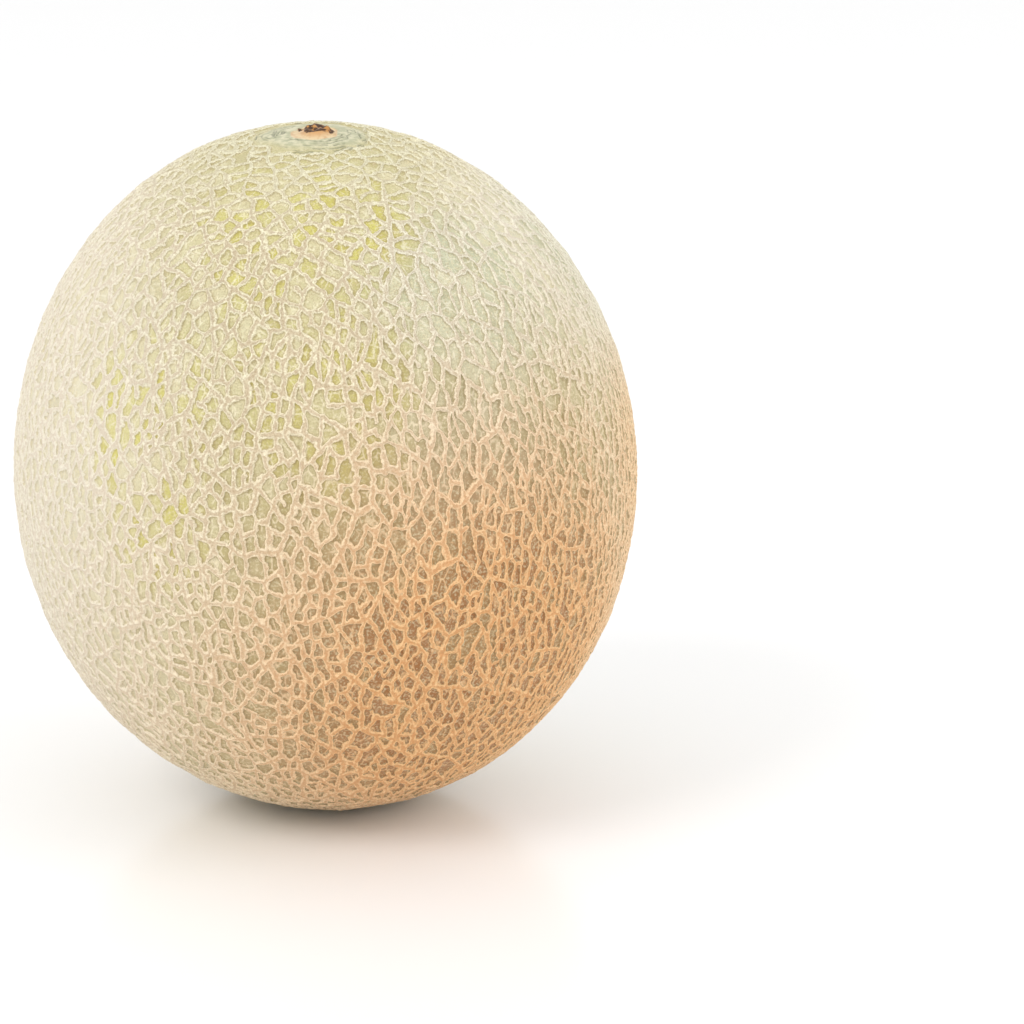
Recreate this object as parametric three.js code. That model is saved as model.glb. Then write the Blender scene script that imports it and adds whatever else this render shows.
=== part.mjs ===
// A whole netted cantaloupe melon, standing on the small flat spot at its blossom end.
// Units are millimetres and +Z is up. The origin is on the ground, under the middle of the fruit.
// The skin is a gently lumpy ellipsoid. A raised corky net covers it: the net's cells are a Voronoi
// pattern on a sphere, drawn out along the meridians, and each border between two cells is a ridge.
import * as THREE from "three";
import { ConvexHull } from "three/addons/math/ConvexHull.js";

const { asin, atan2, cos, hypot, max, min, PI, sin, sqrt } = Math;
const { clamp, degToRad, lerp, seededRandom, smoothstep } = THREE.MathUtils;

// Driving dimensions of the body
const WIDTH = 150; // across the equator, over the skin
const LENGTH = 168.3; // from stem end to blossom end, over the skin
const LEAN = degToRad(2.3); // the stem end leans towards -X as the fruit rests
const TILT = degToRad(5); // and tilts towards -Y
const FLAT_DEPTH = 0.8; // how much of the skin the flat spot takes off

// The body's gentle lumps: waves across it, each with the way it runs and where it starts
const WAVE_HEIGHT = 0.25;
const WAVES = [
  { run: new THREE.Vector3(3, 0, 2), start: 1 },
  { run: new THREE.Vector3(-2, 4, 0), start: 0 },
  { run: new THREE.Vector3(0, -3, 3), start: 2 },
];

// The raised net
const CELL_COUNT = 735;
const CELL_STRETCH = 0.45; // at the equator cells are longer than wide by this share
const CELL_JITTER = 0.36; // how far a cell's middle strays, as a share of the mean spacing
const RIDGE_RISE = 1.2; // crest above the skin
const RIDGE_HALF_WIDTH = 1.1; // from crest to foot, on the nearest sides of a cell
const LEAST_FLOOR = 0.5; // size of a narrow cell's floor, as a share of the cell
const NET_SEED = 7;

// The stem scar, in the middle of a smooth collar
const SCAR_RADIUS = 5.6;
const SCAR_DEPTH = 0.9;
const COLLAR_RISE = 0.4; // the collar and the scar's rim above the skin
const COLLAR_RADIUS = 13;
const COLLAR_CELLS = 12;

const HALF_WIDTH = WIDTH / 2;
const HALF_LENGTH = LENGTH / 2;
const GOLDEN_ANGLE = PI * (3 - sqrt(5));
const STEM_END = new THREE.Vector3(0, 0, 1);

// The unit vector at a latitude and longitude
function onSphere(latitude, longitude) {
  const across = cos(latitude);
  return new THREE.Vector3(across * cos(longitude), across * sin(longitude), sin(latitude));
}

// Moves a direction of the Voronoi pattern to its place on the fruit. Latitudes spread out round the
// equator and crowd together at the ends, so round cells become long ones.
function drawOut(direction) {
  const latitude = asin(clamp(direction.z, -1, 1));
  const longitude = atan2(direction.y, direction.x);
  return onSphere(latitude + (CELL_STRETCH / 2) * sin(2 * latitude), longitude);
}

// The angle from the stem end, in the Voronoi pattern, of a ring this far from the stem's axis
function patternAngle(radius) {
  return asin(radius / HALF_WIDTH) / (1 - CELL_STRETCH);
}

// The skin in a direction: an ellipsoid with a few broad lumps
function skinPoint(direction) {
  const { x, y, z } = direction;
  const heights = WAVES.map((wave) => WAVE_HEIGHT * sin(wave.run.dot(direction) + wave.start));
  const swell = heights.reduce((sum, height) => sum + height);
  const point = new THREE.Vector3(HALF_WIDTH * x, HALF_WIDTH * y, HALF_LENGTH * z);
  return point.multiplyScalar(1 + swell / HALF_WIDTH);
}

function skinNormal(direction) {
  const { x, y, z } = direction;
  return new THREE.Vector3(x / HALF_WIDTH, y / HALF_WIDTH, z / HALF_LENGTH).normalize();
}

// The direction whose skin point lies on the line from the centre to this point
function directionOf(point) {
  return new THREE.Vector3(point.x / HALF_WIDTH, point.y / HALF_WIDTH, point.z / HALF_LENGTH).normalize();
}

// The point this far above the skin, or below it
function liftedPoint(direction, rise) {
  return skinPoint(direction).addScaledVector(skinNormal(direction), rise);
}

// The middles of the cells on the unit sphere: the scar, a ring of collar cells round it, and an even
// spiral over the rest, each point of which strays a little. A border lies halfway between two middles,
// which puts the ring at twice the scar's radius and the spiral's start as far outside the collar's edge.
function cellMiddles() {
  const middles = [STEM_END.clone()];
  const ringRadius = 2 * SCAR_RADIUS;
  for (let i = 0; i < COLLAR_CELLS; i++) {
    middles.push(onSphere(PI / 2 - patternAngle(ringRadius), (2 * PI * i) / COLLAR_CELLS));
  }
  const clearAngle = patternAngle(2 * COLLAR_RADIUS - ringRadius);
  const stray = CELL_JITTER * sqrt((4 * PI) / CELL_COUNT);
  seededRandom(NET_SEED);
  for (let i = 0; i < CELL_COUNT; i++) {
    const latitude = asin(1 - (2 * i + 1) / CELL_COUNT);
    const middle = onSphere(latitude, i * GOLDEN_ANGLE);
    const east = new THREE.Vector3(-middle.y, middle.x, 0).normalize();
    const north = middle.clone().cross(east);
    middle.addScaledVector(east, stray * lerp(-1, 1, seededRandom()));
    middle.addScaledVector(north, stray * lerp(-1, 1, seededRandom()));
    middle.normalize();
    if (middle.angleTo(STEM_END) > clearAngle) {
      middles.push(middle);
    }
  }
  return middles;
}

// The Voronoi pattern: its corners, and for each cell the indices of its corners, anticlockwise
function voronoiCells(middles) {
  const hull = new ConvexHull().setFromPoints(middles);
  const corners = hull.faces.map((face) => face.normal.clone());
  const cells = new Map(middles.map((middle) => [middle, []]));
  hull.faces.forEach((face, corner) => {
    let edge = face.edge;
    do {
      cells.get(edge.head().point).push(corner);
      edge = edge.next;
    } while (edge !== face.edge);
  });
  for (const [middle, cell] of cells) {
    const east = new THREE.Vector3().crossVectors(corners[cell[0]], middle).normalize();
    const north = middle.clone().cross(east);
    const turn = (corner) => atan2(corners[corner].dot(north), corners[corner].dot(east));
    cell.sort((first, second) => turn(first) - turn(second));
  }
  return { corners, cells: [...cells.values()] };
}

// The crest's rise over the skin: the net fades out towards the scar, down to the level of the collar
function crestRise(direction) {
  if (direction.z < 0) {
    return RIDGE_RISE;
  }
  const fromAxis = HALF_WIDTH * hypot(direction.x, direction.y);
  return max(COLLAR_RISE, RIDGE_RISE * smoothstep(fromAxis, SCAR_RADIUS, COLLAR_RADIUS));
}

// The floor of a cell has the cell's own outline, drawn in towards its middle by the ridge's half width
function floorDirections(outline) {
  const points = outline.map(skinPoint);
  const middle = new THREE.Vector3();
  points.forEach((point) => middle.addScaledVector(point, 1 / points.length));
  const nearest = points.map((point, i) => {
    const side = new THREE.Line3(point, points[(i + 1) % points.length]);
    return side.closestPointToPoint(middle, true, new THREE.Vector3()).distanceTo(middle);
  });
  const share = max(LEAST_FLOOR, 1 - RIDGE_HALF_WIDTH / min(...nearest));
  return points.map((point) => directionOf(middle.clone().lerp(point, share)));
}

// How far a cell's floor stands above the skin. The first cell is the sunken scar, and the next ones are
// the collar.
function floorRise(cellIndex) {
  if (cellIndex === 0) {
    return -SCAR_DEPTH;
  }
  return cellIndex <= COLLAR_CELLS ? COLLAR_RISE : 0;
}

// The whole surface as one closed mesh: crests at the corners of the pattern, a floor in each cell, and
// flanks between them.
function netGeometry() {
  const { corners, cells } = voronoiCells(cellMiddles());
  const directions = corners.map(drawOut);
  const points = directions.map((direction) => liftedPoint(direction, crestRise(direction)));
  const triangles = [];
  cells.forEach((cell, cellIndex) => {
    const first = points.length;
    const floor = floorDirections(cell.map((corner) => directions[corner]));
    floor.forEach((direction) => points.push(liftedPoint(direction, floorRise(cellIndex))));
    cell.forEach((corner, i) => {
      const next = (i + 1) % cell.length;
      triangles.push(corner, cell[next], first + next);
      triangles.push(corner, first + next, first + i);
      if (i > 0 && next > 0) {
        triangles.push(first, first + i, first + next);
      }
    });
  });
  return new THREE.BufferGeometry().setFromPoints(points).setIndex(triangles);
}

// Tilts the body, sets its lowest skin on the ground by flattening what would reach below, and brings the
// origin under its middle.
function restOnGround(geometry) {
  geometry.rotateX(TILT).rotateY(-LEAN);
  const upright = cos(TILT) * cos(LEAN);
  const lowestSkin = -hypot(HALF_LENGTH * upright, HALF_WIDTH * sqrt(1 - upright * upright));
  geometry.translate(0, 0, -lowestSkin - FLAT_DEPTH);
  const position = geometry.getAttribute("position");
  for (let i = 0; i < position.count; i++) {
    position.setZ(i, max(0, position.getZ(i)));
  }
  geometry.computeBoundingBox();
  const middle = geometry.boundingBox.getCenter(new THREE.Vector3());
  geometry.translate(-middle.x, -middle.y, 0);
  geometry.computeVertexNormals();
  return geometry;
}

const rind = new THREE.MeshStandardMaterial({ color: 0xdccfa4, roughness: 0.75, metalness: 0 });
const melon = new THREE.Mesh(restOnGround(netGeometry()), rind);
melon.name = "melon";

const fruit = new THREE.Group();
fruit.add(melon);

export default fruit;
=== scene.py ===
# A whole netted melon, finer than the solid that it stands for: the same body and the same large net, with
# small cells between the large lines, cork on the lines, a stem scar and the colours of the skin.
# Lengths are in millimetres up to the point where a mesh, light or camera is made.
import random
from itertools import combinations
from math import atan2, ceil, cos, hypot, pi, radians, sin, sqrt, tau

import bmesh
import bpy
import numpy as np
from mathutils import Matrix, Vector
from mathutils.kdtree import KDTree


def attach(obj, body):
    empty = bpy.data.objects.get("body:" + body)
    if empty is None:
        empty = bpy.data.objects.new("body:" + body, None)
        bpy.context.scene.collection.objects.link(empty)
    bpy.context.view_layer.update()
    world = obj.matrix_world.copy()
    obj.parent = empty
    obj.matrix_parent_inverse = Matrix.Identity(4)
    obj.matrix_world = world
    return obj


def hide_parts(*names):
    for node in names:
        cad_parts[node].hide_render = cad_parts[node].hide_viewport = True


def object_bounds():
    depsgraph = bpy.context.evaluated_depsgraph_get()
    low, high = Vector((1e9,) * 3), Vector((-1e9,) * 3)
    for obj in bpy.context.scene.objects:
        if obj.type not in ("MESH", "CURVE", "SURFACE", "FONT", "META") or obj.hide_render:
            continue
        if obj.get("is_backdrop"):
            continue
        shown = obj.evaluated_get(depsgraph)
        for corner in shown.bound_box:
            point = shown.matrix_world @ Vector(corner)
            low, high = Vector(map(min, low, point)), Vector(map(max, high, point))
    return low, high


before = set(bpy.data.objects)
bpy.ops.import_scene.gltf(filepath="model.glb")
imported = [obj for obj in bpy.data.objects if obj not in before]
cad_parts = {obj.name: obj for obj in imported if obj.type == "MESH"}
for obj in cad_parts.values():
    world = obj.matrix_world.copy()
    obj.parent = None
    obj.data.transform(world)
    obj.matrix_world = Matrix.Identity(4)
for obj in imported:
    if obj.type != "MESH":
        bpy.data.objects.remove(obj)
cad_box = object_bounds()
MM = 0.001

# The body, as the solid has it
HALF_WIDTH = 75.0
HALF_LENGTH = 84.15
LEAN = radians(2.3)
TILT = radians(5)
FLAT_DEPTH = 0.8
WAVE_HEIGHT = 0.25
WAVES = (((3, 0, 2), 1), ((-2, 4, 0), 0), ((0, -3, 3), 2))  # the way each runs and where it starts
AXES = np.array([HALF_WIDTH, HALF_WIDTH, HALF_LENGTH])
LEANING = np.array(Matrix.Rotation(-LEAN, 3, "Y") @ Matrix.Rotation(TILT, 3, "X"))
UPRIGHT = LEANING[2, 2]
LOWEST_SKIN = hypot(HALF_LENGTH * UPRIGHT, HALF_WIDTH * sqrt(1 - UPRIGHT * UPRIGHT))
CENTRE = np.array([0, 0, LOWEST_SKIN - FLAT_DEPTH])
FAR = 2 * HALF_WIDTH  # stands for the distance from the stem on the lower half

# Reading the solid's net
WELD = 1e-6  # metres
LEAST_CREST = 0.7  # a vertex this far above the skin is on a crest
MOST_FLOOR = 0.3  # and one below this is on the floor of a cell
GROUND_CLEAR = 0.5  # the net is not read from the flat spot

# The small cells
CELL_AREA = 16.0
AREA_SPREAD = (0.75, 1.3)  # from one large cell to the next, the area is between these shares of that
OPEN_SPOT = (0.5, -0.6, 0.62)  # direction of a patch with large cells
OPEN_REACHES = (0.168, 0.42)  # the cells are largest within the first, and as elsewhere past the second
OPEN_GROWTH = 1.3
TOP_ASPECT = 0.8  # how much longer than wide cells are near the stem end,
SIDE_ASPECT = 1.6  # all round the fruit,
RIGHT_ASPECT = 2.2  # and towards +X
TOP_SPAN = (0.6, 0.95)  # the change towards the stem end, as the direction's z,
RIGHT_SPAN = (-0.2, 0.6)  # and towards +X, as its x
ROOM_STEPS = 24  # places tried along and across the room that some cells share
SPREADINGS = 4  # times that the cells are spread out evenly
GAP_SHARE = 0.03  # this many of the borders are missing
SPUR_SHARE = 0.04  # and this many end inside a cell
SPUR_LENGTH = (0.4, 0.7)  # after this share of their way
FIRST_CELL_SEED = 11_000  # each large cell has its own seed, counted on from this
LINE_WAYS = 3  # small lines are kept apart by the way they run, so that the corners between them round off
PLAIN_TONE = 0.5  # where there are no small cells

# The lines: half width and rise
LARGE_LINE = (0.7, 0.8)
SMALL_LINE = (0.62, 0.7)
LINE_STEP = 0.2
LINE_WAVER = ((6.5, 0.9), (2.4, 0.45), (1.0, 0.28))  # wavelengths and sizes
LINE_BLEND = 4.6  # how sharply two lines that meet stay apart
WIDTH_SPREAD = 0.4
RISE_SPREAD = 0.3
LEFT_WIDENING = 0.15  # lines towards -X grow wider by this share,
LEFT_SPAN = (0.0, 0.5)  # while the direction's -x goes from one of these to the other,
RIGHT_THINNING = 0.15  # and towards +X they grow thinner by this,
THIN_SPAN = (0.0, 0.6)  # while its x does
CROWN_RADII = (10, 48)  # lines grow from their thinnest to their full width between these, round the stem
CROWN_THINNING = 0.4
BACK_EDGES = (0.5, 1.15)  # a line's back slopes down between these shares of its half width
FURROW = 0.45  # depth of the furrow along a line, as a share of its rise
FURROW_EDGE = 0.5  # and half its width, as a share of the line's half width
CORK_ROUGHNESS = 0.08
CORK_EDGES = (0.7, 1.0)  # the roughness fades out between these shares of the half width
MOST_ACROSS = 3  # past this many half widths from a line, the colours don't change

# The stem end
STEM_SHIFT = (1.6, 0.0)  # from the body's axis to the middle of the scar
STEM_UNEVEN = 0.8
SCAR_RADII = (4.9, 5.9)  # where its edge starts and ends, towards +X
SCAR_STRETCH = 1.22  # and it is longer than that by this factor, towards -Y
SCAR_DEPTH = 0.5
PAD_RADII = (2.6, 4.8)  # the scar's middle is a raised pad,
PAD_RISE = 0.3
PLUG_SHIFT = (0.4, 1.7)  # and a plug of dark crumbs stands off the middle
PLUG_RADII = (3.4, 4.6)
PLUG_UNEVEN = 1.4
CRUMB_RISE = 0.2
CRUMB_SPREAD = 0.7
COLLAR_RISE = 0.4
COLLAR_RADII = (9.1, 13.5)
COLLAR_UNEVEN = 2.0
COLLAR_CLEARING = 2  # on the collar, the net counts as this many half widths further off
CRACK_RADII = (7.0, 8.0, 9.1, 10.2, 11.4, 12.6, 13.8)
CRACK_TURN = (0.4, 1.3)  # how far round the stem a crack runs,
CRACK_GAP = (0.1, 0.6)  # how far off the next one starts,
CRACK_DRIFT = 0.9  # and how far in or out it may end
CRACK_BENDS = 14
CRACK_SEED = 11
CRACK_DEPTH = 0.25
CRACK_EDGES = (0.05, 0.3)
CRACK_BREAKS = (-0.3, 0.3)  # a crack fades out where its noise falls through this span

# Soft noises in the shape: wavelength and seed
WIDTH_NOISE = (6.0, 31)
CORK_NOISE = (1.0, 32)
STEM_NOISE = (4.0, 33)
PLUG_NOISE = (1.8, 35)
CRUMB_NOISE = (1.5, 36)
CRACK_NOISE = (2.5, 37)
COLLAR_NOISE = (6.0, 38)
WAVER_SEED = 20
NOISE_TABLE = 48  # places along each side of the table of random vectors

# Where the colours lie: round spots, each with its direction and reach
YELLOW_SPOTS = (
    ((-0.09, -0.53, 0.84), 0.4),
    ((0.1, -0.5, 0.85), 0.35),
    ((0.06, -0.88, 0.46), 0.42),
    ((-0.5, -0.78, 0.38), 0.36),
    ((-0.45, -0.86, 0.12), 0.28),
    ((0.3, 0.75, 0.6), 0.6),
    ((-0.7, 0.5, 0.3), 0.5),
)
GREEN_SPOTS = (
    ((0.5, -0.58, 0.64), 0.5),
    ((0.5, -0.82, 0.25), 0.4),
    ((0.8, 0.2, 0.55), 0.6),
    ((-0.1, 0.9, 0.1), 0.7),
)
PALE_SPOTS = (((0.74, -0.1, 0.66), 0.6),)
PALE_SPAN = (0.15, 0.8)  # the skin also turns pale towards -X
TAN_AND_SHADE_SIDE = (0.45, -0.62, -0.64)  # the skin turns tan in this direction: partly its own tan ground colour, partly painted shade and painted warm bounce light on the lower right
TAN_AND_SHADE_SPAN = (-0.15, 1.1)
TAN_AND_SHADE_BELOW = 0.5  # and by this share underneath: partly tan ground colour, partly painted shade on the lower half
BELOW_SPAN = (0.2, 0.9)
# painted warm bounce light and painted shade: the skin turns orange-brown round the first spot, towards
# the lower right, and by a share round the second, towards +X
BOUNCE_AND_SHADE_SPOT = ((0.48, -0.77, -0.43), 1.03)
SIDE_SPOT = ((0.98, -0.1, -0.1), 0.6)
SIDE_BOUNCE = 0.5
BLOSSOM_SPOT = ((0, 0, -1), 0.1)
SPOT_CORE = 0.3  # a spot is full within this share of its reach

# The colours, as screens count them from 0 to 255: the skin in the cells,
SKIN = (195, 188, 140)
PALE_SKIN = (216, 208, 182)
GREEN_SKIN = (192, 195, 166)
YELLOW_SKIN = (206, 199, 100)
TAN_AND_SHADE_SKIN = (187, 168, 126)
BOUNCE_AND_SHADE_SKIN = (160, 105, 52)
DEEP_SKIN = (166, 150, 100)
GROWN_SKIN = (220, 211, 180)
FLECKED_SKIN = (228, 216, 178)
SHADED_SKIN = (146, 118, 72)
GRAIN = (164, 142, 102)
# the edges of the lines, pale partly as a painted highlight,
EDGE = (246, 240, 210)
PALE_EDGE = (238, 231, 212)
GREEN_EDGE = (240, 236, 216)
CROWN_EDGE = (236, 232, 203)
TAN_AND_SHADE_EDGE = (250, 230, 201)
BOUNCE_AND_SHADE_EDGE = (250, 206, 151)
# their backs, darker partly as painted shade in the furrow along each line's middle,
BACK = (199, 182, 152)
PALE_BACK = (218, 205, 185)
GREEN_BACK = (206, 196, 174)
CROWN_BACK = (211, 206, 175)
TAN_AND_SHADE_BACK = (217, 188, 152)
BOUNCE_AND_SHADE_BACK = (215, 155, 100)
# and the two ends
COLLAR = (178, 178, 144)
PALE_COLLAR = (211, 206, 174)
CRACK = (126, 127, 102)
SCAR = (224, 201, 160)
PAD = (206, 158, 104)
STAIN = (190, 140, 92)
CRUMB = (70, 42, 14)
PALE_CRUMB = (192, 136, 70)
BLOSSOM = (196, 164, 118)

# Fine noises in the colours: wavelength and detail
RAGGED_NOISE = (1.2, 4.0)
SKIN_FLECK_NOISE = (0.6, 3.0)
CORK_FLECK_NOISE = (0.5, 3.0)
GRAIN_NOISE = (0.36, 3.0)
HAIR_NOISE = (2.6, 2.0)
COLLAR_SHADE_NOISE = (1.6, 3.0)
STAIN_NOISE = (1.5, 3.0)
CHIP_NOISE = (1.3, 3.0)
CRUMB_SHADE_NOISE = (1.1, 3.0)
BUMP_NOISE = (0.45, 4.0)
RAGGEDNESS = 1.7  # how far a line's edge strays, in half widths
CORK_FLECKS = 0.35
HAIR_SPACING = 2.2  # of the fine pale lines in the cells
HAIR_SQUEEZE = (1, 1, 0.6)  # which draws them out upwards
BUMP_DEPTH = 0.2
MIX_INPUTS = (0, 6, 7)  # where a node that mixes colours takes the share and the two colours,
MIX_RESULT = 2  # and where it gives its result

# The mesh: quads along each edge of the cube that is blown up into the body
QUADS = 420
VERTEX_STEPS = 1_000_000  # directions that differ by less than one part in this many are one vertex
SHEET_COLUMNS = 3  # the cube's six sides lie side by side on the flat sheet
SHEET_ROWS = 2
SHEET_MARGIN = 0.004

# The stage, in metres
FLOOR_HALF = 4.0
FLOOR_COLOUR = (0.97, 0.97, 0.97, 1)
FLOOR_ROUGHNESS = 0.2
SKY_STRENGTH = 0.95
LIGHT_SIZE = 1.2
LIGHT_AIM = (0, 0, 0.083)
LIGHTS = (("key", (-1.3, -1.3, 1.7), 18), ("side", (1.6, -0.3, 0.9), 7))  # name, place and watts

# The camera
EYE_ELEVATION = radians(14.5)
EYE_DISTANCE = 1000.0
AIM_SHIFT = (45.22, 0, -11.02)  # from the fruit's centre to the middle of the picture
SENSOR_WIDTH = 36
FOCAL_LENGTH = 144


def unit(vectors):
    return vectors / np.linalg.norm(vectors, axis=-1, keepdims=True)


def smoothstep(low, high, values):
    share = np.clip((values - low) / (high - low), 0, 1)
    return share * share * (3 - 2 * share)


def fade(low, high, values):
    """1 up to the low value, falling to 0 at the high one."""
    return 1 - smoothstep(low, high, values)


def skin_points(directions):
    swell = sum(WAVE_HEIGHT * np.sin(directions @ np.array(run) + start) for run, start in WAVES)
    return AXES * directions * (1 + swell / HALF_WIDTH)[..., None]


def skin_normals(directions):
    return unit(directions / AXES)


def directions_of(points):
    return unit(points / AXES)


def upright(places):
    """From the frame's place for the fruit to the fruit's own upright axes, about its centre."""
    return (places - CENTRE) @ LEANING


def in_place(points):
    return points @ LEANING.T + CENTRE


def soft_noise(points, wavelength, seed):
    """Smooth random vectors between -1 and 1, one for each point."""
    table = np.random.default_rng(seed).uniform(-1, 1, (NOISE_TABLE,) * 3 + (3,))
    scaled = points / wavelength
    base = np.floor(scaled).astype(int)
    share = scaled - base
    share = share * share * (3 - 2 * share)
    total = np.zeros((len(points), 3))
    for corner in np.ndindex(2, 2, 2):
        weight = np.prod(np.where(corner, share, 1 - share), axis=1)
        x, y, z = ((base + corner) % NOISE_TABLE).T
        total += weight[:, None] * table[x, y, z]
    return total


def cell_groups(floor, crest, near):
    """The crest vertices round each group of floor vertices that are joined to each other."""
    seen = set()
    for first in np.flatnonzero(floor):
        if first in seen:
            continue
        group = [first]
        seen.add(first)
        corners = set()
        for index in group:
            for other in near[index]:
                if crest[other]:
                    corners.add(other)
                elif floor[other] and other not in seen:
                    seen.add(other)
                    group.append(other)
        yield sorted(corners)


def solid_net(node):
    """The crest lines of the solid's net, and the corners of each cell, on the upright ellipsoid."""
    mesh = bmesh.new()
    mesh.from_mesh(node.data)
    bmesh.ops.remove_doubles(mesh, verts=mesh.verts, dist=WELD)
    mesh.verts.index_update()
    places = np.array([vertex.co for vertex in mesh.verts]) / MM
    pairs = [[vertex.index for vertex in edge.verts] for edge in mesh.edges]
    mesh.free()
    points = upright(places)
    directions = directions_of(points)
    rises = np.linalg.norm(points, axis=1) - np.linalg.norm(skin_points(directions), axis=1)
    clear = places[:, 2] > GROUND_CLEAR
    crest = (rises > LEAST_CREST) & clear
    floor = (rises < MOST_FLOOR) & clear
    base = AXES * directions
    lines = [(base[a], base[b]) for a, b in pairs if crest[a] and crest[b]]
    near = {index: [] for index in range(len(base))}
    for a, b in pairs:
        near[a].append(b)
        near[b].append(a)
    cells = [base[corners] for corners in cell_groups(floor, crest, near) if len(corners) > 2]
    cells.sort(key=lambda corners: corners.mean(0)[2])
    return lines, cells


class Chart:
    """A flat map of the skin round a cell, with x to the east and y towards the stem."""

    def __init__(self, corners):
        self.middle = corners.mean(0)
        self.direction = directions_of(self.middle)
        normal = skin_normals(self.direction)
        self.east = unit(np.cross((0, 0, 1), normal))
        self.north = np.cross(normal, self.east)

    def flat(self, points):
        return np.stack([(points - self.middle) @ self.east, (points - self.middle) @ self.north], 1)

    def solid(self, spots):
        return AXES * directions_of(self.middle + spots @ np.stack([self.east, self.north]))


def polygon_area(spots):
    x, y = spots.T
    return abs(np.dot(x, np.roll(y, -1)) - np.dot(y, np.roll(x, -1))) / 2


def inside(outline, spots):
    """Whether each spot lies inside a convex outline whose corners run anticlockwise."""
    sides = np.roll(outline, -1, axis=0) - outline
    apart = spots[:, None] - outline
    return (sides[:, 0] * apart[..., 1] - sides[:, 1] * apart[..., 0] >= 0).all(1)


def cell_middles(outline, area, draw):
    """The middles of the cells that fill an outline, each in the middle of its own share of the room."""
    ranges = np.linspace(outline.min(0), outline.max(0), ROOM_STEPS).T
    room = np.stack(np.meshgrid(*ranges), -1).reshape(-1, 2)
    room = room[inside(outline, room)]
    middles = room[draw.sample(range(len(room)), max(1, round(polygon_area(outline) / area)))]
    for _ in range(SPREADINGS):
        nearest = np.linalg.norm(room[:, None] - middles, axis=2).argmin(1)
        middles = np.array([room[nearest == i].mean(0) for i in np.unique(nearest)])
    return middles


def borders(outline, middles):
    """Each two cells that touch, and the ends of the border between them."""
    sides = np.roll(outline, -1, axis=0) - outline
    outward = np.stack([sides[:, 1], -sides[:, 0]], 1)
    for i, j in combinations(range(len(middles)), 2):
        halfway = (middles[i] + middles[j]) / 2
        along = (middles[j] - middles[i]) @ np.array([[0, 1], [-1, 0]])
        others = np.delete(middles, (i, j), axis=0)
        limits = np.concatenate([outward, others - middles[i]])
        anchors = np.concatenate([outline, (others + middles[i]) / 2])
        slopes = limits @ along
        reaches = ((anchors - halfway) * limits).sum(1) / slopes
        low = reaches[slopes < 0].max()
        high = reaches[slopes > 0].min()
        if low < high:
            yield i, j, halfway + low * along, halfway + high * along


def cell_area(direction):
    """The area of the small cells in a direction."""
    apart = np.linalg.norm(direction - np.array(OPEN_SPOT))
    return CELL_AREA * (1 + (OPEN_GROWTH - 1) * fade(*OPEN_REACHES, apart))


def cell_aspect(direction):
    """How much longer than wide the small cells are in a direction."""
    aspect = SIDE_ASPECT + (RIGHT_ASPECT - SIDE_ASPECT) * smoothstep(*RIGHT_SPAN, direction[0])
    return aspect + (TOP_ASPECT - aspect) * smoothstep(*TOP_SPAN, direction[2])


class LargeCell:
    """A cell of the solid's net, filled with small cells: their borders, and a tone for each of them."""

    def __init__(self, corners, draw):
        self.chart = Chart(corners)
        self.reach = np.linalg.norm(corners - self.chart.middle, axis=1).max()
        aspect = cell_aspect(self.chart.direction)
        self.squeeze = np.array([1, aspect])
        outline = self.chart.flat(corners) / self.squeeze
        east, north = (outline - outline.mean(0)).T
        self.outline = outline[np.argsort(np.arctan2(north, east))]
        area = cell_area(self.chart.direction) * draw.uniform(*AREA_SPREAD)
        self.middles = cell_middles(self.outline, area / aspect, draw)
        self.tones = np.array([draw.random() for _ in self.middles])
        self.lines = list(self.small_lines(draw))

    def small_lines(self, draw):
        """The borders of the small cells. Cells with an open border between them share a tone."""
        for i, j, start, end in borders(self.outline, self.middles):
            chance = draw.random()
            if chance < GAP_SHARE + SPUR_SHARE:
                self.tones[j] = self.tones[i]
            if chance < GAP_SHARE:
                continue
            if chance < GAP_SHARE + SPUR_SHARE:
                end = start + (end - start) * draw.uniform(*SPUR_LENGTH)
            way = int(atan2(*(end - start)) % pi / pi * LINE_WAYS) % LINE_WAYS
            yield way, self.chart.solid(np.array([start, end]) * self.squeeze)

    def put_tones(self, points, near, tones):
        """Sets the tones of those of some near points that lie in this cell."""
        spots = self.chart.flat(points[near]) / self.squeeze
        held = inside(self.outline, spots)
        nearest = np.linalg.norm(spots[held][:, None] - self.middles, axis=2).argmin(1)
        tones[near[held]] = self.tones[nearest]


def stem_cracks():
    """Broken rings of cracks in the collar round the stem scar."""
    draw = random.Random(CRACK_SEED)
    for radius in CRACK_RADII:
        turn = draw.uniform(0, tau)
        last = turn + tau
        while turn < last:
            length = draw.uniform(*CRACK_TURN)
            angles = np.linspace(turn, turn + length, CRACK_BENDS)
            drift = draw.uniform(-CRACK_DRIFT, CRACK_DRIFT)
            out = np.linspace(radius, radius + drift, CRACK_BENDS) / HALF_WIDTH
            ring = np.stack([out * np.cos(angles), out * np.sin(angles), np.sqrt(1 - out * out)], 1)
            yield AXES * ring + (*STEM_SHIFT, 0)
            turn += length + draw.uniform(*CRACK_GAP)


def tree_of(points):
    tree = KDTree(len(points))
    for index, point in enumerate(points):
        tree.insert(point, index)
    tree.balance()
    return tree


def line_distances(rows, points):
    """How far each point is from the nearest of some lines."""
    along = []
    for row in rows:
        for start, end in zip(row, row[1:]):
            count = max(2, ceil(np.linalg.norm(end - start) / LINE_STEP))
            along.append(start + (end - start) * np.linspace(0, 1, count)[:, None])
    tree = tree_of(AXES * directions_of(np.concatenate(along)))
    return np.array([tree.find(point)[2] for point in points.tolist()])


def cell_tones(cells, points):
    """The tone of the small cell that each point lies in."""
    tree = tree_of(points)
    tones = np.full(len(points), PLAIN_TONE)
    for cell in cells:
        near = np.array([index for _, index, _ in tree.find_range(cell.chart.middle, cell.reach)], int)
        cell.put_tones(points, near, tones)
    return tones


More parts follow.
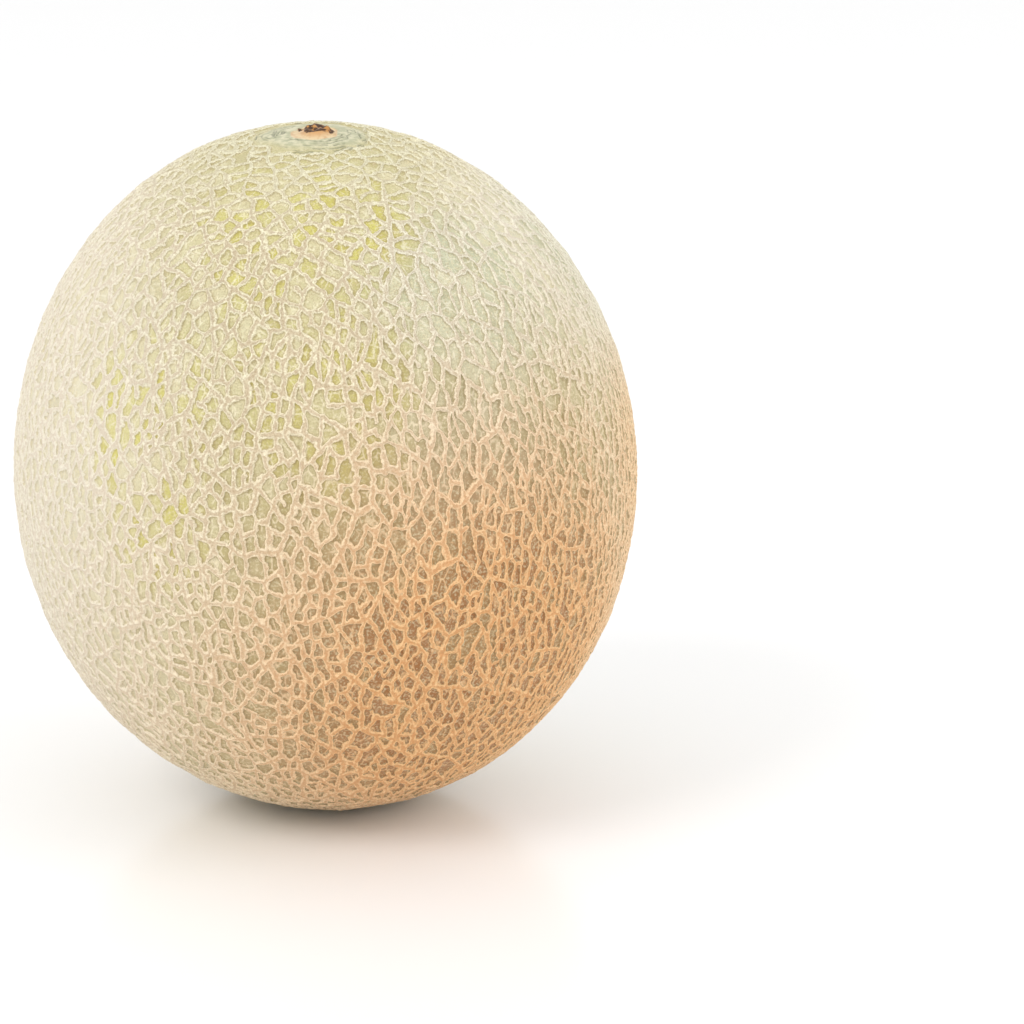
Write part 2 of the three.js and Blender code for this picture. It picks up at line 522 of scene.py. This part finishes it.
def cube_sphere(quads):
    """Directions all over a ball, the quads between them, and each quad corner's place on a flat sheet."""
    tangents = np.tan(np.linspace(-pi / 4, pi / 4, quads + 1))
    u, v = np.meshgrid(tangents, tangents, indexing="ij")
    one = np.ones_like(u)
    sides = ((one, u, v), (-one, -u, v), (-u, one, v), (u, -one, v), (-v, u, one), (v, u, -one))
    directions = unit(np.concatenate([np.stack(side, -1).reshape(-1, 3) for side in sides]))
    steps = np.round(directions * VERTEX_STEPS).astype(int)
    _, first, merged = np.unique(steps, axis=0, return_index=True, return_inverse=True)
    grid = np.arange((quads + 1) ** 2).reshape(quads + 1, quads + 1)
    corners = np.stack([grid[:-1, :-1], grid[1:, :-1], grid[1:, 1:], grid[:-1, 1:]], -1).reshape(-1, 4)
    corners = np.concatenate([corners + side * grid.size for side in range(len(sides))])
    across = np.linspace(SHEET_MARGIN, 1 - SHEET_MARGIN, quads + 1)
    sheet = np.stack(np.meshgrid(across, across, indexing="ij"), -1).reshape(-1, 2)
    shifts = [(side % SHEET_COLUMNS, side // SHEET_COLUMNS) for side in range(len(sides))]
    sheets = np.concatenate([(sheet + shift) / (SHEET_COLUMNS, SHEET_ROWS) for shift in shifts])
    return directions[first], merged[corners], sheets[corners]


def smoothed(values, quads):
    """Values drawn halfway towards the mean of their neighbours' along the quads' edges."""
    start = quads.ravel()
    end = np.roll(quads, -1, axis=1).ravel()
    count = np.bincount(start, minlength=len(values)) + np.bincount(end, minlength=len(values))
    total = np.bincount(start, values[end], len(values)) + np.bincount(end, values[start], len(values))
    return (values + total / count) / 2


def ridge(across):
    """The height of a line's back, with a furrow along its middle, down to 0 past its edge."""
    return fade(*BACK_EDGES, across) * (1 - FURROW * fade(0.0, FURROW_EDGE, across))


def spot(directions, middle, reach):
    """1 in the middle of a round spot on the fruit, falling to 0 at its reach."""
    apart = np.linalg.norm(directions - unit(np.array(middle, float)), axis=1)
    return fade(SPOT_CORE * reach, reach, apart)


def patches(directions, spots):
    return np.max([spot(directions, middle, reach) for middle, reach in spots], axis=0)


def colour_zones(directions):
    """How much of each zone of colour there is in each direction, from 0 to 1."""
    left = smoothstep(*PALE_SPAN, -directions[:, 0])
    tan_and_shade_side = smoothstep(*TAN_AND_SHADE_SPAN, directions @ unit(np.array(TAN_AND_SHADE_SIDE)))
    below = smoothstep(*BELOW_SPAN, -directions[:, 2])
    return {
        "yellow": patches(directions, YELLOW_SPOTS),
        "green": patches(directions, GREEN_SPOTS),
        "pale": np.maximum(left, patches(directions, PALE_SPOTS)),
        # tan: partly the skin's own tan ground colour, partly painted shade and painted warm bounce light
        # towards the lower right and underneath
        "tan": np.maximum(tan_and_shade_side, TAN_AND_SHADE_BELOW * below),
        # painted warm bounce light and painted shade, orange-brown on the lower right and towards +X
        "bounce_and_shade": np.maximum(spot(directions, *BOUNCE_AND_SHADE_SPOT), SIDE_BOUNCE * spot(directions, *SIDE_SPOT)),
        "blossom": spot(directions, *BLOSSOM_SPOT),
    }


def stem_end(base, directions, moved):
    """How much of each part of the stem end there is at each point, from 0 to 1."""
    top = directions[:, 2] > 0
    from_stem = base[:, :2] - STEM_SHIFT
    uneven = STEM_UNEVEN * soft_noise(base, *STEM_NOISE)[:, 0]
    stem_out = np.where(top, np.linalg.norm(from_stem, axis=1), FAR) + uneven
    scar_out = np.where(top, np.linalg.norm(from_stem / (1, SCAR_STRETCH), axis=1), FAR) + uneven
    collar_out = stem_out + COLLAR_UNEVEN * soft_noise(base, *COLLAR_NOISE)[:, 0]
    plug_out = np.linalg.norm(from_stem - PLUG_SHIFT, axis=1)
    plug_out += PLUG_UNEVEN * soft_noise(base, *PLUG_NOISE)[:, 1]
    cracks = fade(*CRACK_EDGES, line_distances(stem_cracks(), moved))
    return {
        "crown": fade(*CROWN_RADII, stem_out),
        "collar": fade(*COLLAR_RADII, collar_out),
        "cracks": cracks * smoothstep(*CRACK_BREAKS, soft_noise(base, *CRACK_NOISE)[:, 0]),
        "scar": fade(*SCAR_RADII, scar_out),
        "pad": fade(*PAD_RADII, scar_out),
        "plug": fade(*PLUG_RADII, plug_out) * top,
    }


def sets_of_lines(large_lines, cells):
    """The large lines, and the small ones by the way they run, each set with its half width and rise."""
    yield large_lines, LARGE_LINE
    for way in range(LINE_WAYS):
        yield [line for cell in cells for runs, line in cell.lines if runs == way], SMALL_LINE


def net_relief(line_sets, widths, wide, moved, clearing):
    """How many half widths off each point is from the nearest line, and the height of the net there."""
    weights = 0
    rises = 0
    for i, (rows, (half_width, rise)) in enumerate(line_sets):
        half_widths = half_width * widths * (1 + WIDTH_SPREAD * wide[:, i % 3])
        across = line_distances(rows, moved) / half_widths + clearing
        weight = np.exp(-LINE_BLEND * across)
        weights = weights + weight
        rises = rises + weight * rise * (1 + RISE_SPREAD * wide[:, (i + 1) % 3])
    across = -np.log(weights) / LINE_BLEND
    return across, ridge(across) * rises / weights


def surface(directions, quads):
    """The fine surface's points, and the values all over it that its colours are made from."""
    base = AXES * directions
    normals = skin_normals(directions)
    shift = 0
    for i, (wavelength, size) in enumerate(LINE_WAVER):
        shift = shift + size * soft_noise(base, wavelength, WAVER_SEED + i)
    moved = base + shift - normals * (shift * normals).sum(1, keepdims=True)
    stem = stem_end(base, directions, moved)
    widths = 1 + LEFT_WIDENING * smoothstep(*LEFT_SPAN, -directions[:, 0])
    widths -= RIGHT_THINNING * smoothstep(*THIN_SPAN, directions[:, 0])
    widths -= CROWN_THINNING * stem["crown"]
    wide = soft_noise(base, *WIDTH_NOISE)

    large_lines, outlines = solid_net(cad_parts["melon"])
    draws = [random.Random(FIRST_CELL_SEED + rank) for rank in range(len(outlines))]
    cells = [LargeCell(corners, draw) for corners, draw in zip(outlines, draws)]
    line_sets = sets_of_lines(large_lines, cells)
    across, relief = net_relief(line_sets, widths, wide, moved, COLLAR_CLEARING * stem["collar"])

    height = smoothed(relief, quads)
    height += CORK_ROUGHNESS * fade(*CORK_EDGES, across) * soft_noise(base, *CORK_NOISE)[:, 0]
    height += COLLAR_RISE * stem["collar"] - CRACK_DEPTH * stem["cracks"]
    height += (SCAR_DEPTH + PAD_RISE) * stem["pad"] - SCAR_DEPTH * stem["scar"]
    height += (CRUMB_RISE + CRUMB_SPREAD * soft_noise(base, *CRUMB_NOISE)[:, 0]) * stem["plug"]
    points = in_place(skin_points(directions) + normals * height[:, None])
    points[:, 2] = np.maximum(points[:, 2], 0)
    values = {
        "across": np.minimum(across, MOST_ACROSS),
        "tone": smoothed(cell_tones(cells, moved), quads),
        **stem,
        **colour_zones(directions),
    }
    return points, values


def build_melon():
    directions, quads, sheet = cube_sphere(QUADS)
    points, values = surface(directions, quads)
    low, high = np.array(cad_box[0]) / MM, np.array(cad_box[1]) / MM
    points[:, :2] += ((low + high) / 2 - (points.min(0) + points.max(0)) / 2)[:2]
    mesh = bpy.data.meshes.new("melon_skin")
    mesh.vertices.add(len(points))
    mesh.vertices.foreach_set("co", (points * MM).astype(np.float32).ravel())
    mesh.loops.add(quads.size)
    mesh.loops.foreach_set("vertex_index", quads.astype(np.int32).ravel())
    mesh.polygons.add(len(quads))
    mesh.polygons.foreach_set("loop_start", np.arange(0, quads.size, 4, dtype=np.int32))
    mesh.update(calc_edges=True)
    mesh.shade_smooth()
    mesh.uv_layers.new(name="OFBake").data.foreach_set("uv", sheet.astype(np.float32).ravel())
    for name, numbers in values.items():
        mesh.attributes.new(name, "FLOAT", "POINT").data.foreach_set("value", numbers.astype(np.float32))
    melon = bpy.data.objects.new("melon_skin", mesh)
    bpy.context.scene.collection.objects.link(melon)
    return melon


def linear(red, green, blue):
    """A colour as screens count it, from 0 to 255, as a shader takes it."""
    shares = np.array([red, green, blue]) / 255
    return (*np.where(shares > 0.04045, ((shares + 0.055) / 1.055) ** 2.4, shares / 12.92), 1.0)


class Nodes:
    """Adds shader nodes to a material and links them."""

    def __init__(self, name):
        self.material = bpy.data.materials.new(name)
        self.material.use_nodes = True
        self.tree = self.material.node_tree
        self.shader = self.tree.nodes["Principled BSDF"]

    def put(self, socket, value):
        if isinstance(value, bpy.types.NodeSocket):
            self.tree.links.new(value, socket)
        else:
            socket.default_value = value

    def add(self, kind, inputs=(), **settings):
        node = self.tree.nodes.new("ShaderNode" + kind)
        for name, value in settings.items():
            setattr(node, name, value)
        for name, value in dict(inputs).items():
            self.put(node.inputs[name], value)
        return node

    def value(self, name):
        return self.add("Attribute", attribute_name=name).outputs["Fac"]

    def place(self):
        return self.add("TexCoord").outputs["Object"]

    def layers(self, base, *layers):
        """A colour with others laid over it in turn, each by its share."""
        for share, colour in layers:
            node = self.add("Mix", data_type="RGBA")
            for index, value in zip(MIX_INPUTS, (share, base, colour)):
                self.put(node.inputs[index], linear(*value) if isinstance(value, tuple) else value)
            base = node.outputs[MIX_RESULT]
        return base

    def maths(self, operation, first, second):
        return self.add("Math", {0: first, 1: second}, operation=operation).outputs[0]

    def plus(self, first, second):
        return self.maths("ADD", first, second)

    def times(self, first, second):
        return self.maths("MULTIPLY", first, second)

    def span(self, value, low, high, to_low=0.0, to_high=1.0):
        sizes = {"From Min": low, "From Max": high, "To Min": to_low, "To Max": to_high}
        node = self.add("MapRange", {"Value": value, **sizes}, interpolation_type="SMOOTHSTEP")
        return node.outputs[0]

    def noise(self, wavelength, detail):
        inputs = {"Vector": self.place(), "Scale": 1 / (wavelength * MM), "Detail": detail}
        return self.add("TexNoise", inputs).outputs[0]

    def sway(self, wavelength, detail):
        """Noise about 0."""
        return self.maths("SUBTRACT", self.noise(wavelength, detail), 0.5)

    def hairs(self, spacing):
        """How far a point is, as a share of the spacing, from the nearest of many fine lines."""
        squeezed = self.add("VectorMath", {0: self.place(), 1: HAIR_SQUEEZE}, operation="MULTIPLY")
        inputs = {"Vector": squeezed.outputs[0], "Scale": 1 / (spacing * MM)}
        return self.add("TexVoronoi", inputs, feature="DISTANCE_TO_EDGE").outputs["Distance"]


def net_colour(rind, across, net):
    """The skin in the cells, and over it the cork of the lines, with pale edges, partly a painted
    highlight, and a darker back, partly painted shade in the furrow along its middle.
    """
    tone = rind.value("tone")
    pale = rind.value("pale")
    green = rind.value("green")
    crown = rind.value("crown")
    # the tan zone is partly tan ground colour and partly painted shade and painted warm bounce light
    tan = rind.value("tan")
    # painted warm bounce light and painted shade on the lower right
    bounce_and_shade = rind.value("bounce_and_shade")
    firm = rind.span(pale, 0.0, 1.0, to_low=1.0, to_high=0.4)
    yellow = rind.times(rind.value("yellow"), rind.span(tone, 0.05, 0.85, to_low=0.1))
    deep = rind.times(rind.span(tone, 0.7, 1.0, to_high=0.35), firm)
    grown = rind.span(tone, 0.5, 0.0, to_high=0.5)
    grown = rind.times(grown, rind.span(tan, 0.0, 0.8, to_low=1.0, to_high=0.1))
    skin_flecks = rind.span(rind.noise(*SKIN_FLECK_NOISE), 0.45, 0.7, to_high=0.6)
    # painted shade: the skin darkens at the foot of each line, and more so on the tan side towards the
    # lower right
    shade = rind.times(rind.span(across, 1.6, 1.0), rind.span(tan, 0.0, 0.7, to_low=0.36, to_high=0.45))
    hair_patches = rind.span(rind.noise(*HAIR_NOISE), 0.4, 0.58, to_high=0.52)
    hairs = rind.times(rind.span(rind.hairs(HAIR_SPACING), 0.1, 0.03), hair_patches)
    edge = rind.layers(
        EDGE,
        (pale, PALE_EDGE),
        (green, GREEN_EDGE),
        (crown, CROWN_EDGE),
        (tan, TAN_AND_SHADE_EDGE),
        (bounce_and_shade, BOUNCE_AND_SHADE_EDGE),
    )
    back = rind.layers(
        BACK,
        (pale, PALE_BACK),
        (green, GREEN_BACK),
        (crown, CROWN_BACK),
        (tan, TAN_AND_SHADE_BACK),
        (bounce_and_shade, BOUNCE_AND_SHADE_BACK),
    )
    skin = rind.layers(
        SKIN,
        (pale, PALE_SKIN),
        (green, GREEN_SKIN),
        (yellow, YELLOW_SKIN),
        (tan, TAN_AND_SHADE_SKIN),
        (bounce_and_shade, BOUNCE_AND_SHADE_SKIN),
        (deep, DEEP_SKIN),
        (grown, GROWN_SKIN),
        (skin_flecks, FLECKED_SKIN),
        (rind.times(shade, firm), SHADED_SKIN),
        (hairs, edge),
    )
    # the darker middle of each line: partly the cork's own pinkish colour, partly painted shade in its
    # furrow
    middle = rind.span(across, 0.6, 0.25, to_high=0.7)
    cork_flecks = rind.times(rind.span(rind.noise(*CORK_FLECK_NOISE), 0.35, 0.65), CORK_FLECKS)
    cork = rind.layers(edge, (rind.plus(middle, cork_flecks), back))
    grain = rind.span(rind.noise(*GRAIN_NOISE), 0.45, 0.68)
    grain = rind.times(grain, rind.span(tan, 0.0, 0.8, to_low=0.52, to_high=0.28))
    return rind.layers(skin, (net, cork), (rind.times(grain, firm), GRAIN))


def end_colours(rind, colour):
    """Lays the collar, the stem scar with its crumbs, and the blossom end over a colour."""
    collar = rind.layers(COLLAR, (rind.span(rind.noise(*COLLAR_SHADE_NOISE), 0.4, 0.65), PALE_COLLAR))
    stains = rind.span(rind.noise(*STAIN_NOISE), 0.4, 0.65, to_high=0.5)
    scar = rind.layers(SCAR, (rind.value("pad"), PAD), (stains, STAIN))
    crumbs = rind.layers(CRUMB, (rind.span(rind.noise(*CRUMB_SHADE_NOISE), 0.47, 0.66), PALE_CRUMB))
    chips = rind.sway(*CHIP_NOISE)
    return rind.layers(
        colour,
        (rind.value("collar"), collar),
        (rind.value("cracks"), CRACK),
        (rind.span(rind.plus(rind.value("scar"), chips), 0.3, 0.7), scar),
        (rind.value("blossom"), BLOSSOM),
        (rind.span(rind.plus(rind.value("plug"), chips), 0.3, 0.7), crumbs),
    )


def rind_material():
    rind = Nodes("rind")
    across = rind.plus(rind.value("across"), rind.times(rind.sway(*RAGGED_NOISE), RAGGEDNESS))
    net = rind.span(across, 1.05, 0.85)
    colour = end_colours(rind, net_colour(rind, across, net))
    rind.put(rind.shader.inputs["Base Color"], colour)
    rind.put(rind.shader.inputs["Roughness"], rind.span(net, 0.0, 1.0, to_low=0.5, to_high=0.85))
    relief = rind.times(rind.noise(*BUMP_NOISE), rind.span(net, 0.0, 1.0, to_low=0.3))
    bump = rind.add("Bump", {"Strength": 1.0, "Distance": BUMP_DEPTH * MM, "Height": relief})
    rind.put(rind.shader.inputs["Normal"], bump.outputs[0])
    return rind.material


def build_floor():
    corners = [(-1, -1), (1, -1), (1, 1), (-1, 1)]
    mesh = bpy.data.meshes.new("floor")
    mesh.from_pydata([(FLOOR_HALF * x, FLOOR_HALF * y, 0) for x, y in corners], [], [(0, 1, 2, 3)])
    floor = bpy.data.objects.new("floor", mesh)
    bpy.context.scene.collection.objects.link(floor)
    pale = Nodes("floor")
    pale.put(pale.shader.inputs["Base Color"], FLOOR_COLOUR)
    pale.put(pale.shader.inputs["Roughness"], FLOOR_ROUGHNESS)
    mesh.materials.append(pale.material)
    floor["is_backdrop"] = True


def facing(place, aim):
    """The turn of a light or camera that looks from a place at its aim."""
    return (Vector(aim) - Vector(place)).to_track_quat("-Z", "Y").to_euler()


def add_light(name, place, watts):
    light = bpy.data.lights.new(name, "AREA")
    light.shape = "DISK"
    light.size = LIGHT_SIZE
    light.energy = watts
    lamp = bpy.data.objects.new(name, light)
    lamp.location = place
    lamp.rotation_euler = facing(place, LIGHT_AIM)
    bpy.context.scene.collection.objects.link(lamp)


def light_scene():
    world = bpy.data.worlds.new("studio")
    world.use_nodes = True
    background = world.node_tree.nodes["Background"]
    background.inputs["Color"].default_value = (1, 1, 1, 1)
    background.inputs["Strength"].default_value = SKY_STRENGTH
    bpy.context.scene.world = world
    for light in LIGHTS:
        add_light(*light)


def place_camera():
    aim = CENTRE + np.array(AIM_SHIFT)
    eye = aim + EYE_DISTANCE * np.array([0, -cos(EYE_ELEVATION), sin(EYE_ELEVATION)])
    lens = bpy.data.cameras.new("camera")
    lens.sensor_width = SENSOR_WIDTH
    lens.lens = FOCAL_LENGTH
    camera = bpy.data.objects.new("camera", lens)
    camera.location = Vector(eye * MM)
    camera.rotation_euler = facing(eye, aim)
    bpy.context.scene.collection.objects.link(camera)
    bpy.context.scene.camera = camera


bpy.context.scene.view_settings.view_transform = "Standard"
melon = build_melon()
melon.data.materials.append(rind_material())
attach(melon, "root")
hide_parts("melon")
build_floor()
light_scene()
place_camera()

boxes = {"cad": cad_box, "visual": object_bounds()}
{name: [list(corner) for corner in box] for name, box in boxes.items()}
